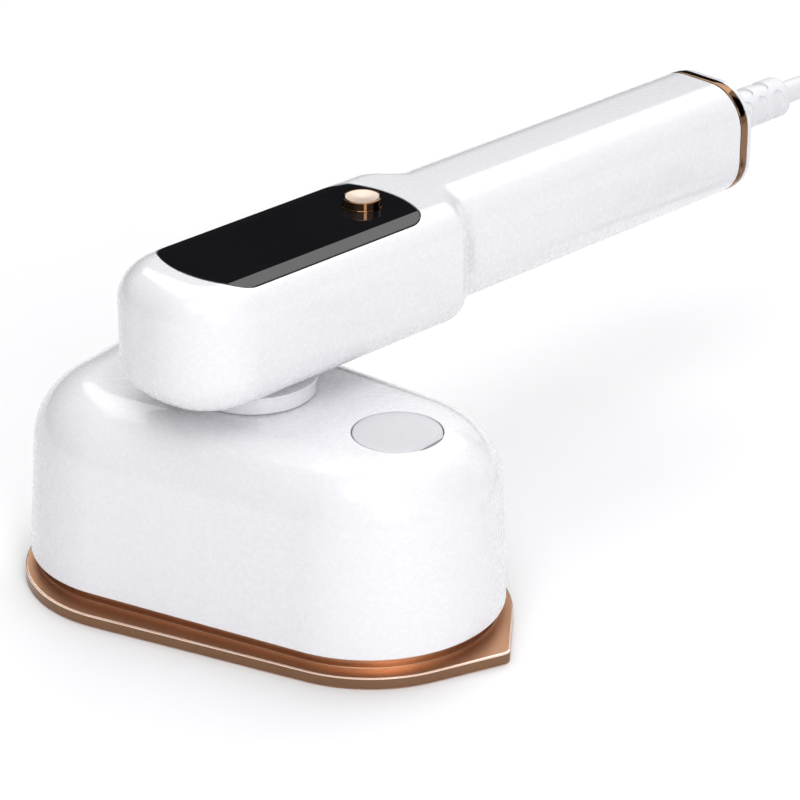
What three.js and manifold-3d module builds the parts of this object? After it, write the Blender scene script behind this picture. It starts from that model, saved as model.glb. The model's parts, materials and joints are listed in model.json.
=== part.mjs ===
// Travel steam iron / garment steamer: a steam head on a flat soleplate and a handle that swivels on it.
// Millimetres, +Z up. The origin is on the swivel's axis in the plane of the soleplate's underside,
// and +X points to the soleplate's nose.

import * as THREE from 'three';
import { LoftGeometry } from 'three/addons/geometries/LoftGeometry.js';
import { mergeVertices } from 'three/addons/utils/BufferGeometryUtils.js';
import Module from 'manifold-3d';

const wasm = await Module();
wasm.setup();

// ---------------------------------------------------------------- driving dimensions

const GAP = 0.3; // clearance between neighbouring pieces

const HEAD = {
  noseX: 36, // centre of the nose arc
  noseR: 35.6,
  rearX: -27.3, // centres of the two rear corner arcs
  rearY: 7.3,
  rearR: 34.2,
  bottom: 7.3,
  top: 56.5,
  fillet: 17,
  draft: 1.6, // how far the wall leans in between the bottom and the fillet
  shift: 1, // how far the top lies nearer to the nose than the bottom does
  wall: 2.2,
};

const SOLE = {
  noseX: 36.5,
  noseR: 37.1,
  rearX: -25.6,
  rearY: 9.2,
  rearR: 36,
  tipX: 75.9, // centre of the small arc at the point of the nose
  tipR: 3,
  thick: 3.4,
  bevel: 0.7,
  stepInset: 3.2, // the raised step stands in from the housing's outline
  stepTop: 7,
  holeR: 1.3,
  holeRowY: 11,
  holePitch: 11,
  holesPerRow: 7,
  holeFirstX: -28,
};

const CAP = {
  x: 44.8,
  r: 11.6,
  thick: 2.3,
  notch: 9.6, // how far from the centre the finger notch is cut straight
  notchDepth: 1.2,
  turn: -5, // the notch's direction, from +X
  dish: 0.5,
  stemR: 6.2,
  stemBottom: 49.3,
  mouthR: 7.3,
  sealR: 7.1,
  sealMiddle: 50.95,
};

const NECK = { r: 16.3, lipR: 17, shaftR: 11.7, boreR: 8 };

const HANDLE = {
  angle: 78.5, // from +X, about +Z
  front: -37.3,
  end: 172.5,
  podHalf: 22,
  gripHalf: 17,
  podBottom: 62.1,
  gripBottom: 63.5,
  top: 96.7,
  planR: 20, // corner arcs of the pod's front, seen from above
  podTopR: 9,
  podBottomR: 11.5,
  gripR: 12,
  shoulderStart: 54,
  shoulderLength: 11,
  wall: 2.6,
  coverInset: 6.5, // the seam of the lower cover stands in from the handle's outline
  axisZ: 81.6, // the cord leaves along this height
};

const LENS = { front: -23.2, rear: 49.9, half: 17.2, endR: 30, cornerR: 7, thick: 1.2 };

const BUTTON = { s: 39.2, r: 5, top: 99.2, flangeR: 5.9, bezelR: 5.6 };

const RING = {
  length: 2.8,
  capLength: 2,
  relief: 208.8, // where the strain relief ends
  reliefR: 6,
};

const CORD = { r: 3.4, coilInner: 31.2, coilOuter: 44.8, coilBase: 1.2, layers: 3 };

const TANK = { rear: 18, bottom: 32, top: 51.2, wall: 1.6, clearance: 1 };

const PUMP = { y: -15, z: 39, barrelR: 5, coilR: 8.4, pipeR: 1.5, hoseR: 2 };

const SCREW = { headR: 2.6, headThick: 1.4, recessR: 2.9, shankR: 1.4, threadR: 1.7, bossR: 3.4 };

const HANDLE_SCREWS = [[-28, 0], [56, 8], [56, -8], [148, 6.2]];
const CASTING_SCREWS = [[-49, 0], [10, 24], [10, -24]];

// Where the cord runs, in the handle's own axes: along it, across it, and up from the surface it stands on.
const CORD_ROUTE = [
  [209.1, 0, 81.6], [214.5, 0, 81.6], [220.5, 0, 81.4], [228, 0, 80.4], [235.2, 0, 78.1], [242, 0, 74.2],
  [248.3, 0, 68.6], [253.4, 0, 61.4], [256.8, 0, 53.1], [258.2, -0.2, 44.5], [257.6, -0.8, 36],
  [255.3, -3, 27.8], [251.3, -7, 19.9], [245.8, -12.5, 13], [239, -19.2, 7.7], [231.6, -26.5, 4.7],
  [225.4, -32.6, 3.8],
];
const COIL_CENTRE = [236.7, -79.1];
const TAIL_ROUTE = [
  [189.6, -67.9, 16.2], [184.7, -72.9, 14.1], [179.8, -77.9, 11.7], [174.9, -82.8, 9.7], [170, -87.8, 8.5],
  [165.1, -92.7, 8.2],
];
const PLUG_ANGLE = 225.35; // the plug points along the tail's last run

// ---------------------------------------------------------------- finishes

function finish(color, roughness, metalness) {
  return new THREE.MeshStandardMaterial({ color, roughness, metalness });
}

const WHITE = finish(0xf2f2f5, 0.2, 0);
const ROSE_GOLD = finish(0xb0835f, 0.3, 1);
const BLACK_GLOSS = finish(0x141414, 0.08, 0);
const ALUMINIUM = finish(0xb4b6b8, 0.5, 1);
const STEEL = finish(0x9a9c9e, 0.35, 1);
const BRASS = finish(0xb59a55, 0.4, 1);
const SILICONE = finish(0xd8d8d4, 0.6, 0);
const CLEAR_TANK = finish(0xe4eef2, 0.3, 0);
const DARK_PLASTIC = finish(0x2c2c2e, 0.55, 0);
const BOARD_GREEN = finish(0x1f5b3a, 0.5, 0);
const CORD_WHITE = finish(0xececf0, 0.45, 0);
const COPPER = finish(0xa65f36, 0.4, 1);
const WIRE_RED = finish(0x9c3a30, 0.5, 0);

// ---------------------------------------------------------------- solids

// A closed geometry as a manifold solid: corners merged, collapsed triangles dropped, faces pointing out.
function toSolid(geometry) {
  const bare = new THREE.BufferGeometry();
  bare.setAttribute('position', geometry.getAttribute('position'));
  bare.setIndex(geometry.getIndex());
  const merged = mergeVertices(bare, 1e-4);
  const corners = merged.index.array;
  const kept = [];
  for (let i = 0; i < corners.length; i += 3) {
    const [a, b, c] = [corners[i], corners[i + 1], corners[i + 2]];
    if (a !== b && b !== c && a !== c) kept.push(a, b, c);
  }
  const points = new Float32Array(merged.attributes.position.array);
  if (signedVolume(points, kept) < 0) kept.reverse();
  const mesh = new wasm.Mesh({ numProp: 3, vertProperties: points, triVerts: new Uint32Array(kept) });
  return new wasm.Manifold(mesh);
}

function signedVolume(points, corners) {
  const at = (i) => new THREE.Vector3(points[3 * i], points[3 * i + 1], points[3 * i + 2]);
  let sum = 0;
  for (let i = 0; i < corners.length; i += 3) {
    sum += at(corners[i]).dot(at(corners[i + 1]).cross(at(corners[i + 2])));
  }
  return sum;
}

function toGeometry(solid) {
  const mesh = solid.getMesh();
  const geometry = new THREE.BufferGeometry();
  geometry.setAttribute('position', new THREE.BufferAttribute(mesh.vertProperties, 3));
  geometry.setIndex(new THREE.BufferAttribute(mesh.triVerts, 1));
  geometry.computeVertexNormals();
  return geometry;
}

function join(...solids) {
  return solids.reduce((sum, solid) => sum.add(solid));
}

function cut(solid, ...tools) {
  return tools.reduce((left, tool) => left.subtract(tool), solid);
}

function box(x0, x1, y0, y1, z0, z1) {
  const geometry = new THREE.BoxGeometry(x1 - x0, y1 - y0, z1 - z0);
  return toSolid(geometry.translate((x0 + x1) / 2, (y0 + y1) / 2, (z0 + z1) / 2));
}

// A round bar between two points on a line along one axis ('x', 'y' or 'z').
function bar(axis, r, from, to, a = 0, b = 0, sides = 12) {
  const geometry = new THREE.CylinderGeometry(r, r, to - from, sides);
  const middle = (from + to) / 2;
  if (axis === 'x') geometry.rotateZ(-Math.PI / 2).translate(middle, a, b);
  if (axis === 'y') geometry.translate(a, middle, b);
  if (axis === 'z') geometry.rotateX(Math.PI / 2).translate(a, b, middle);
  return toSolid(geometry);
}

// A turned solid about the Z axis, from a profile of [radius, height] pairs.
function turned(profile, sides = 24) {
  const closed = [...profile, profile[0]].map(([r, z]) => new THREE.Vector2(r, z));
  return toSolid(new THREE.LatheGeometry(closed, sides).rotateX(Math.PI / 2));
}

function prism(points, z0, z1) {
  const outline = new THREE.Shape(points);
  const geometry = new THREE.ExtrudeGeometry(outline, { depth: z1 - z0, bevelEnabled: false });
  return toSolid(geometry.translate(0, 0, z0));
}

function tube(route, r, steps, sides = 8) {
  const circle = new THREE.Shape(arcPoints(0, 0, r, 0, 360 - 360 / sides, sides - 1));
  const path = new THREE.CatmullRomCurve3(route.map((p) => new THREE.Vector3(...p)), false, 'centripetal');
  return toSolid(new THREE.ExtrudeGeometry(circle, { steps, bevelEnabled: false, extrudePath: path }));
}

function loft(sections) {
  return toSolid(new LoftGeometry(sections, { closed: true, capStart: true, capEnd: true }));
}

// ---------------------------------------------------------------- outlines

const radians = THREE.MathUtils.degToRad;

function arcPoints(x, y, r, from, to, steps) {
  const points = [];
  for (let i = 0; i <= steps; i++) {
    const angle = radians(from + ((to - from) * i) / steps);
    points.push(new THREE.Vector2(x + r * Math.cos(angle), y + r * Math.sin(angle)));
  }
  return points;
}

// The tight outline round circles that are given anticlockwise: arcs joined by their outer tangents.
function roundHull(circles, degreesPerStep = 15) {
  const normals = circles.map((a, i) => {
    const b = circles[(i + 1) % circles.length];
    const along = Math.atan2(b.y - a.y, b.x - a.x);
    const lean = Math.acos((a.r - b.r) / Math.hypot(b.x - a.x, b.y - a.y));
    return THREE.MathUtils.radToDeg(along - lean);
  });
  return circles.flatMap((circle, i) => {
    const from = normals[(i + circles.length - 1) % circles.length];
    const turn = THREE.MathUtils.euclideanModulo(normals[i] - from, 360);
    const steps = Math.max(1, Math.round(turn / degreesPerStep));
    return arcPoints(circle.x, circle.y, circle.r, from, from + turn, steps);
  });
}

function headOutline(inset) {
  return roundHull([
    { x: HEAD.noseX, y: 0, r: HEAD.noseR - inset },
    { x: HEAD.rearX, y: HEAD.rearY, r: HEAD.rearR - inset },
    { x: HEAD.rearX, y: -HEAD.rearY, r: HEAD.rearR - inset },
  ]);
}

function soleOutline(inset) {
  const nose = { x: SOLE.noseX, y: 0, r: SOLE.noseR - inset };
  return roundHull([
    { x: SOLE.tipX, y: 0, r: SOLE.tipR - inset },
    nose,
    { x: SOLE.rearX, y: SOLE.rearY, r: SOLE.rearR - inset },
    { x: SOLE.rearX, y: -SOLE.rearY, r: SOLE.rearR - inset },
    nose,
  ]);
}

const level = (points, z, shift = 0) => points.map((p) => new THREE.Vector3(p.x + shift, p.y, z));

// The head's outside, or the same shape standing in by inset all round.
function headForm(inset, bottom) {
  const sections = [level(headOutline(inset), bottom)];
  const filletR = HEAD.fillet - inset;
  const filletStart = HEAD.top - HEAD.fillet;
  for (let angle = 0; angle <= 90; angle += 15) {
    const lean = HEAD.draft + inset + filletR * (1 - Math.cos(radians(angle)));
    const z = filletStart + filletR * Math.sin(radians(angle));
    sections.push(level(headOutline(lean), z, (HEAD.shift * (z - HEAD.bottom)) / (HEAD.top - HEAD.bottom)));
  }
  return loft(sections);
}

const smooth = (value) => (1 - Math.cos(Math.PI * THREE.MathUtils.clamp(value, 0, 1))) / 2;

// The handle's sizes at a distance s along it: half width, bottom, and corner radii.
function handleAt(s) {
  const share = smooth((s - HANDLE.shoulderStart) / HANDLE.shoulderLength);
  const blend = (pod, grip) => THREE.MathUtils.lerp(pod, grip, share);
  return {
    half: blend(HANDLE.podHalf, HANDLE.gripHalf),
    bottom: blend(HANDLE.podBottom, HANDLE.gripBottom),
    topR: blend(HANDLE.podTopR, HANDLE.gripR),
    bottomR: blend(HANDLE.podBottomR, HANDLE.gripR),
  };
}

// Half the handle's width at s, for an outline that stands in by inset; the front is an arc.
function handleHalf(s, inset) {
  const fromFront = s - HANDLE.front;
  const { half } = handleAt(s);
  if (fromFront >= HANDLE.planR) return half - inset;
  const reach = (HANDLE.planR - inset) ** 2 - (HANDLE.planR - fromFront) ** 2;
  return half - HANDLE.planR + Math.sqrt(Math.max(0, reach));
}

// One cross-section of the handle at s: two corner arcs at the top and two at the bottom.
function handleSection(s, inset, steps = 4) {
  const size = handleAt(s);
  const depth = s - HANDLE.front - inset;
  const corner = (r, centreZ, up) => {
    const most = depth < r ? Math.acos(THREE.MathUtils.clamp(1 - depth / r, 0, 1)) : Math.PI / 2;
    const points = [];
    for (let i = 0; i <= steps; i++) {
      const angle = (most * i) / steps;
      const half = handleHalf(s, inset + r * (1 - Math.cos(angle)));
      points.push([half, centreZ + up * r * Math.sin(angle)]);
    }
    return points;
  };
  const top = corner(size.topR - inset, HANDLE.top - size.topR, 1);
  const bottom = corner(size.bottomR - inset, size.bottom + size.bottomR, -1);
  const mirror = (points) => points.map(([t, z]) => [-t, z]).reverse();
  const ring = [...top, ...mirror(top), ...mirror(bottom).reverse(), ...bottom.reverse()];
  return ring.map(([t, z]) => new THREE.Vector3(s, t, z));
}

// The handle's outside, or the same shape standing in by inset, up to the distance end.
function handleForm(inset, end) {
  const stops = [];
  const front = HANDLE.front + inset;
  for (const share of [0, 0.03, 0.12, 0.27, 0.47, 0.72, 1]) {
    stops.push(front + (HANDLE.planR - inset) * share);
  }
  for (let i = 0; i <= 5; i++) stops.push(HANDLE.shoulderStart + (HANDLE.shoulderLength * i) / 5);
  stops.push(end);
  return loft(stops.map((s) => handleSection(s, inset)));
}

function handlePlan(inset, end) {
  const side = [];
  const front = HANDLE.front + inset;
  const reach = HANDLE.planR - inset;
  for (let i = 0; i <= 6; i++) side.push(front + reach * (1 - Math.cos(radians(15 * i))));
  for (let i = 0; i <= 4; i++) side.push(HANDLE.shoulderStart + (HANDLE.shoulderLength * i) / 4);
  side.push(end);
  const upper = side.map((s) => new THREE.Vector2(s, handleHalf(s, inset)));
  const lower = side.map((s) => new THREE.Vector2(s, -handleHalf(s, inset)));
  return [...lower, ...upper.reverse()];
}

// The black panel seen from above: bowed ends and rounded corners between straight sides.
function lensOutline(grow) {
  const half = LENS.half + grow;
  const endR = LENS.endR + grow;
  const cornerR = LENS.cornerR + grow;
  const cornerY = half - cornerR;
  const reach = Math.sqrt((endR - cornerR) ** 2 - cornerY ** 2);
  const turn = THREE.MathUtils.radToDeg(Math.asin(cornerY / (endR - cornerR)));
  const rear = LENS.rear - LENS.endR;
  const front = LENS.front + LENS.endR;
  return [
    ...arcPoints(rear + reach, -cornerY, cornerR, -90, -turn, 4),
    ...arcPoints(rear, 0, endR, -turn, turn, 6).slice(1, -1),
    ...arcPoints(rear + reach, cornerY, cornerR, turn, 90, 4),
    ...arcPoints(front - reach, cornerY, cornerR, 90, 180 - turn, 4),
    ...arcPoints(front, 0, endR, 180 - turn, 180 + turn, 6).slice(1, -1),
    ...arcPoints(front - reach, -cornerY, cornerR, 180 + turn, 270, 4),
  ];
}

// ---------------------------------------------------------------- the assembly

const steamer = new THREE.Group();
const handle = new THREE.Group();
handle.rotation.z = radians(HANDLE.angle);
steamer.add(handle);

function add(parent, name, solid, material) {
  const mesh = new THREE.Mesh(toGeometry(solid), material);
  mesh.name = name;
  parent.add(mesh);
}

// ---------------------------------------------------------------- steam head

function soleplate() {
  const flange = loft([
    level(soleOutline(0), 0),
    level(soleOutline(0), SOLE.thick - SOLE.bevel),
    level(soleOutline(SOLE.bevel), SOLE.thick),
  ]);
  const ledge = prism(headOutline(SOLE.stepInset - 1.8), SOLE.thick - 0.5, SOLE.thick + 1.1);
  const step = prism(headOutline(SOLE.stepInset), SOLE.thick, SOLE.stepTop);
  const holes = [bar('z', SOLE.holeR, -1, SOLE.stepTop + 1, 52, 0, 6)];
  for (let i = 0; i < SOLE.holesPerRow; i++) {
    const x = SOLE.holeFirstX + SOLE.holePitch * i;
    for (const y of [-SOLE.holeRowY, SOLE.holeRowY]) {
      holes.push(bar('z', SOLE.holeR, -1, SOLE.stepTop + 1, x, y, 6));
    }
  }
  add(steamer, 'soleplate', cut(join(flange, ledge, step), ...holes), ROSE_GOLD);
}

const CASTING = { inset: 8, top: 19, elementY: 16, elementZ: 16.5, elementR: 3.2, bendX: 30 };

function elementRoute() {
  const straight = [-46, -30, -14, 2, 18];
  const bend = [];
  for (let angle = -90; angle <= 90; angle += 22.5) {
    const x = CASTING.bendX + CASTING.elementY * Math.cos(radians(angle));
    bend.push([x, CASTING.elementY * Math.sin(radians(angle)), CASTING.elementZ]);
  }
  const out = straight.map((x) => [x, -CASTING.elementY, CASTING.elementZ]);
  const back = straight.map((x) => [x, CASTING.elementY, CASTING.elementZ]).reverse();
  return [...out, ...bend, ...back];
}

function heater() {
  const bottom = SOLE.stepTop + GAP;
  const block = prism(headOutline(CASTING.inset), bottom, CASTING.top);
  const bosses = CASTING_SCREWS.map(([x, y]) => bar('z', 3.5, CASTING.top - 1, 26.7, x, y));
  const threads = CASTING_SCREWS.map(([x, y]) => bar('z', 1.9, 11.7, 30, x, y, 8));
  const groove = tube(elementRoute(), CASTING.elementR + GAP, 26);
  const grooveTop = elementRoute().map(([x, y, z]) => [x, y, z + 2.5]);
  const mouth = tube(grooveTop, CASTING.elementR + GAP, 26);
  const chamber = box(-18, 24, -9, 9, 11, 30);
  const distribution = box(-31, 56, -13.5, 13.5, 0, 9.2);
  const drops = [-10, 16].map((x) => bar('z', 2, 5, 12, x, 0, 12));
  const { elementY, elementZ, elementR } = CASTING;
  const endR = elementR + GAP;
  const ends = [-elementY, elementY].map((y) => bar('x', endR, -70, -44, y, elementZ, 12));
  const endTops = [-elementY, elementY].map((y) => box(-70, -44, y - endR, y + endR, elementZ, 30));
  const casting = cut(
    join(block, ...bosses), ...threads, groove, mouth, chamber, distribution, ...drops, ...ends, ...endTops,
  );
  add(steamer, 'heater_casting', casting, ALUMINIUM);
  add(steamer, 'heating_element', tube(elementRoute(), CASTING.elementR, 26), STEEL);
  for (const [name, y] of [['left', elementY], ['right', -elementY]]) {
    const tab = box(-52, -46.4, y - 0.4, y + 0.4, elementZ - 2, elementZ + 2);
    add(steamer, `element_terminal_${name}`, tab, BRASS);
  }
  const seal = cut(box(-21.5, 27.5, -11.8, 11.8, 19.3, 20.1), box(-18.5, 24.5, -9.2, 9.2, 18, 22));
  add(steamer, 'chamber_gasket', seal, SILICONE);
  const inlet = cut(bar('z', 2.4, 21, 23.2, 0, 0, 16), bar('z', 1.4, 18, 26, 0, 0, 12));
  const plate = cut(box(-21.5, 27.5, -11.8, 11.8, 20.4, 21.4), bar('z', 1.4, 18, 26, 0, 0, 12));
  add(steamer, 'chamber_cover', join(plate, inlet), STEEL);
  const disc = join(bar('z', 6.5, 19.3, 24, -35.5, 0, 24), box(-37.5, -33.5, -8.6, 8.6, 22, 22.8));
  add(steamer, 'thermostat', disc, STEEL);
  add(steamer, 'thermal_fuse', bar('y', 1.6, -8, 8, -25.4, 21.2, 12), BRASS);
}

function heatShield() {
  const plate = prism(headOutline(3.9), 27, 29);
  const screwHoles = CASTING_SCREWS.map(([x, y]) => bar('z', 1.9, 20, 40, x, y, 8));
  const hoseHole = bar('z', 3, 20, 40, 0, 0, 16);
  const wireHole = bar('z', 3.6, 20, 40, -44, 17, 16);
  add(steamer, 'heat_shield', cut(plate, ...screwHoles, hoseHole, wireHole), DARK_PLASTIC);
  CASTING_SCREWS.forEach(([x, y], i) => {
    const screw = join(bar('z', 3.2, 29.3, 31.3, x, y, 12), bar('z', 1.6, 12, 29.4, x, y, 8));
    add(steamer, `casting_screw_${i + 1}`, screw, STEEL);
  });
}

function waterTank() {
  const { rear, bottom, top, wall, clearance } = TANK;
  const front = box(rear, 90, -60, 60, bottom, top);
  const shape = headForm(HEAD.wall + clearance, 20).intersect(front);
  const room = box(rear + wall, 90, -60, 60, bottom + wall, top - wall);
  const inside = headForm(HEAD.wall + clearance + wall, 20).intersect(room);
  const mouth = bar('z', CAP.mouthR, 45, 60, CAP.x, 0, 18);
  add(steamer, 'water_tank', cut(shape, inside, mouth), CLEAR_TANK);
}

function pump() {
  const { y, z, barrelR, coilR, pipeR, hoseR } = PUMP;
  const barrel = bar('x', barrelR, -50, -24, y, z);
  const inletPipe = bar('x', pipeR, -25, -18, y, z, 12);
  const outletPipe = bar('y', pipeR, y, -5, -28, z, 12);
  add(steamer, 'water_pump', join(barrel, inletPipe, outletPipe), CLEAR_TANK);
  const coil = cut(bar('x', coilR, -46, -32, y, z, 24), bar('x', barrelR + GAP, -50, -30, y, z));
  add(steamer, 'pump_coil', coil, COPPER);
  const suction = [[17.6, -13, 37], [10, -14, 37], [0, -15, 38], [-10, -15, 39], [-17.6, y, z]];
  add(steamer, 'suction_hose', tube(suction, hoseR, 12), SILICONE);
  const delivery = [
    [-28, -4.6, z], [-28, -3.4, z], [-25.5, 1.6, 38.6], [-16, 3.4, 37], [-5, 2, 34], [0, 0, 29], [0, 0, 23.6],
  ];
  add(steamer, 'delivery_hose', tube(delivery, hoseR, 16), SILICONE);
}

function headHousing() {
  const cup = bar('z', CAP.r + 2.2, 52, HEAD.top - 2, CAP.x, 0, 36);
  const shell = cut(headForm(0, HEAD.bottom), headForm(HEAD.wall, HEAD.bottom - 1));
  const seat = bar('z', CAP.r + GAP, HEAD.top - CAP.thick - GAP, HEAD.top + 5, CAP.x, 0, 36);
  const mouth = bar('z', CAP.mouthR, 45, 60, CAP.x, 0, 18);
  const swivel = bar('z', NECK.shaftR + GAP, 40, 70, 0, 0, 24);
  const body = cut(join(shell, cup.intersect(headForm(0.5, HEAD.bottom))), seat, mouth, swivel);
  add(steamer, 'head_housing', body, WHITE);
  add(steamer, 'swivel_washer', turned([[12.1, 51], [15.4, 51], [15.4, 54], [12.1, 54]]), STEEL);
}

function fillerCap() {
  const top = HEAD.top;
  const under = top - CAP.thick;
  const face = turned([
    [0, under], [CAP.r, under], [CAP.r, top - 0.3], [CAP.r - 0.6, top],
    [CAP.r - 2.4, top], [CAP.r - 5, top - CAP.dish * 0.7], [0, top - CAP.dish],
  ], 28);
  const notch = box(CAP.notch, 30, -30, 30, top - CAP.notchDepth, top + 1);
  const disc = cut(face, notch.rotate([0, 0, CAP.turn]));
  const stem = turned([
    [0, CAP.stemBottom], [CAP.stemR - 0.6, CAP.stemBottom], [CAP.stemR, CAP.stemBottom + 0.6],
    [CAP.stemR, under + 0.5], [0, under + 0.5],
  ], 18);
  add(steamer, 'filler_cap', join(disc, stem).translate(CAP.x, 0, 0), WHITE);
  const sealInner = CAP.stemR + GAP - 0.1;
  const ring = [[-0.75, sealInner], [-0.55, CAP.sealR], [0.55, CAP.sealR], [0.75, sealInner]];
  const seal = turned(ring.map(([up, r]) => [r, CAP.sealMiddle + up]), 18);
  add(steamer, 'cap_seal', seal.translate(CAP.x, 0, 0), SILICONE);
}

function headHarness() {
  const route = [
    [0, 0, 46.6], [0, 0, 44.8], [-3, 4, 42], [-12, 11, 39.5],
    [-27, 16, 36.5], [-39, 17, 34], [-44, 17, 29], [-44, 17, 23.5],
  ];
  add(steamer, 'head_harness', tube(route, 2.2, 16), WIRE_RED);
}

// ---------------------------------------------------------------- handle

function swivel() {
  const neckTop = HANDLE.podBottom - GAP;
  const neck = turned([
    [NECK.boreR, 48.6], [NECK.shaftR, 48.6], [NECK.shaftR, HEAD.top + GAP], [NECK.r, HEAD.top + GAP],
    [NECK.r, neckTop - 0.9], [NECK.lipR, neckTop - 0.6], [NECK.lipR, neckTop], [NECK.shaftR, neckTop],
    [NECK.shaftR, 69], [NECK.boreR, 69],
  ]);
  add(handle, 'swivel_neck', neck, WHITE);
  add(handle, 'swivel_retainer', turned([[12, 48.9], [15.4, 48.9], [15.4, 50.7], [12, 50.7]]), STEEL);
  add(handle, 'neck_lock_ring', turned([[12, 65.4], [14, 65.4], [14, 67.4], [12, 67.4]]), DARK_PLASTIC);
}

function handleShells() {
  const outer = handleForm(0, HANDLE.end);
  const inner = handleForm(HANDLE.wall, HANDLE.end + 5);
  const hollow = cut(outer, inner);
  const lensDepth = LENS.thick + GAP;
  const lensPocket = cut(prism(lensOutline(GAP), 88, 110), outer.translate(0, 0, -lensDepth));
  const window = box(-12, 20, -9, 9, 90, 110);
  const buttonHole = bar('z', BUTTON.r + GAP, 88, 110, BUTTON.s, 0, 18);
  const bossSpace = handleForm(HANDLE.wall + GAP, HANDLE.end + 5);
  const bosses = HANDLE_SCREWS.flatMap(([s, t]) => [
    bar('z', SCREW.bossR, 60, 92, s, t, 10).intersect(bossSpace),
    bar('z', SCREW.bossR, 91, HANDLE.top - 1, s, t, 10),
  ]);
  const threads = HANDLE_SCREWS.map(([s, t]) => bar('z', SCREW.threadR, 60, 77, s, t, 8));
  const lowerEnd = HANDLE.end + 5;
  const opening = prism(handlePlan(HANDLE.coverInset - GAP, lowerEnd), 55, 74);
  const coverForm = prism(handlePlan(HANDLE.coverInset, lowerEnd), 55, 74);
  const upper = join(cut(hollow, opening), ...bosses);
  add(handle, 'handle_upper_shell', cut(upper, lensPocket, window, buttonHole, ...threads), WHITE);
  const recessTop = HANDLE.gripBottom + 1.1;
  const heads = HANDLE_SCREWS.map(([s, t]) => bar('z', SCREW.recessR, 55, recessTop, s, t, 12));
  const neckHole = bar('z', NECK.shaftR + GAP, 50, 80, 0, 0, 24);
  const cover = cut(hollow.intersect(coverForm), neckHole, ...threads, ...heads);
  add(handle, 'handle_lower_cover', cover, WHITE);
  const lensForm = prism(lensOutline(0), 88, 110).intersect(outer);
  const lens = cut(lensForm, outer.translate(0, 0, -LENS.thick), buttonHole);
  add(handle, 'display_lens', lens, BLACK_GLOSS);
  HANDLE_SCREWS.forEach(([s, t], i) => {
    const head = bar('z', SCREW.headR, recessTop - GAP - SCREW.headThick, recessTop - GAP, s, t, 12);
    const shank = bar('z', SCREW.shankR, HANDLE.gripBottom, 75, s, t, 8);
    add(handle, `handle_screw_${i + 1}`, join(head, shank), STEEL);
  });
}

function button() {
  const inner = BUTTON.r + GAP;
  const low = HANDLE.top + GAP;
  const bezel = turned([
    [inner, low], [BUTTON.bezelR, low], [BUTTON.bezelR - 0.1, low + 0.3], [inner, low + 0.3],
  ], 20);
  add(handle, 'button_bezel', bezel.translate(BUTTON.s, 0, 0), ROSE_GOLD);
  const flange = HANDLE.top - HANDLE.wall - 0.2;
  const knob = turned([
    [0, flange - 0.9], [BUTTON.flangeR, flange - 0.9], [BUTTON.flangeR, flange],
    [BUTTON.r, flange], [BUTTON.r, BUTTON.top - 0.3], [BUTTON.r - 0.3, BUTTON.top],
    [BUTTON.r - 0.9, BUTTON.top], [0, BUTTON.top - 0.35],
  ], 20);
  add(handle, 'power_button', knob.translate(BUTTON.s, 0, 0), ROSE_GOLD);
}

function electronics() {
  add(handle, 'control_board', box(-18, 50, -14, 14, 86, 87.2), BOARD_GREEN);
  add(handle, 'display_module', box(-11, 19, -8.5, 8.5, 87.5, 93), DARK_PLASTIC);
  const switchBody = box(BUTTON.s - 3, BUTTON.s + 3, -3, 3, 87.5, 90.6);
  const switchKey = bar('z', 1.7, 90.5, 91.9, BUTTON.s, 0, 16);
  add(handle, 'tact_switch', join(switchBody, switchKey), DARK_PLASTIC);
  add(handle, 'power_board', box(72, 138, -12, 12, 73.5, 75.1), BOARD_GREEN);
  add(handle, 'power_relay', box(78, 97, -8, 8, 75.4, 90), DARK_PLASTIC);
  add(handle, 'filter_capacitor', box(103, 117, -6, 6, 75.4, 87), DARK_PLASTIC);
  add(handle, 'terminal_block', box(126, 136, -10, 10, 75.4, 84), DARK_PLASTIC);
  const neckRoute = [
    [71.6, 0, 78], [60, 0, 77.5], [34, 0, 76], [12, 0, 74.5], [3, 0, 70], [0, 0, 63], [0, 0, 47.3],
  ];
  add(handle, 'neck_harness', tube(neckRoute, 2.6, 16), WIRE_RED);
  const mainsRoute = [[136.4, 0, 80.5], [145, 0, 80.8], [158, 0, 81.5], [170, 0, HANDLE.axisZ]];
  add(handle, 'mains_wires', tube(mainsRoute, 2.4, 6), CORD_WHITE);
  const clampSlot = box(150, 170, -2.8, 2.8, 78.4, 90);
  add(handle, 'cord_clamp', cut(box(156, 163, -9, 9, 70, 83), clampSlot), DARK_PLASTIC);
}

function tailPieces() {
  const ringStart = HANDLE.end + GAP;
  const capStart = ringStart + RING.length + GAP;
  const capEnd = capStart + RING.capLength;
  const section = (s, inset) => handleSection(HANDLE.end, inset).map((p) => new THREE.Vector3(s, p.y, p.z));
  const band = (from, to, inset) => loft([section(from, inset), section(to, inset)]);
  const ringEnd = ringStart + RING.length;
  const ring = cut(band(ringStart, ringEnd, 0), band(ringStart - 1, ringEnd + 1, HANDLE.wall));
  add(handle, 'end_ring', ring, ROSE_GOLD);
  const { relief: reliefEnd, reliefR } = RING;
  const reliefHole = bar('x', reliefR + GAP, 170, 190, 0, HANDLE.axisZ, 24);
  const cap = loft([section(capStart, 0.3), section(capEnd - 0.8, 0.3), section(capEnd, 1.3)]);
  add(handle, 'end_cap', cut(cap, reliefHole), WHITE);
  const relief = turned([
    [0, 170.4], [8, 170.4], [8, 174.2], [reliefR, 174.2], [reliefR, reliefEnd - 1.6],
    [reliefR - 0.5, reliefEnd - 0.5], [reliefR - 1.4, reliefEnd], [0, reliefEnd],
  ], 20);
  add(handle, 'strain_relief', relief.rotate([0, 90, 0]).translate(0, 0, HANDLE.axisZ), CORD_WHITE);
}

// ---------------------------------------------------------------- cord and plug

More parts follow.
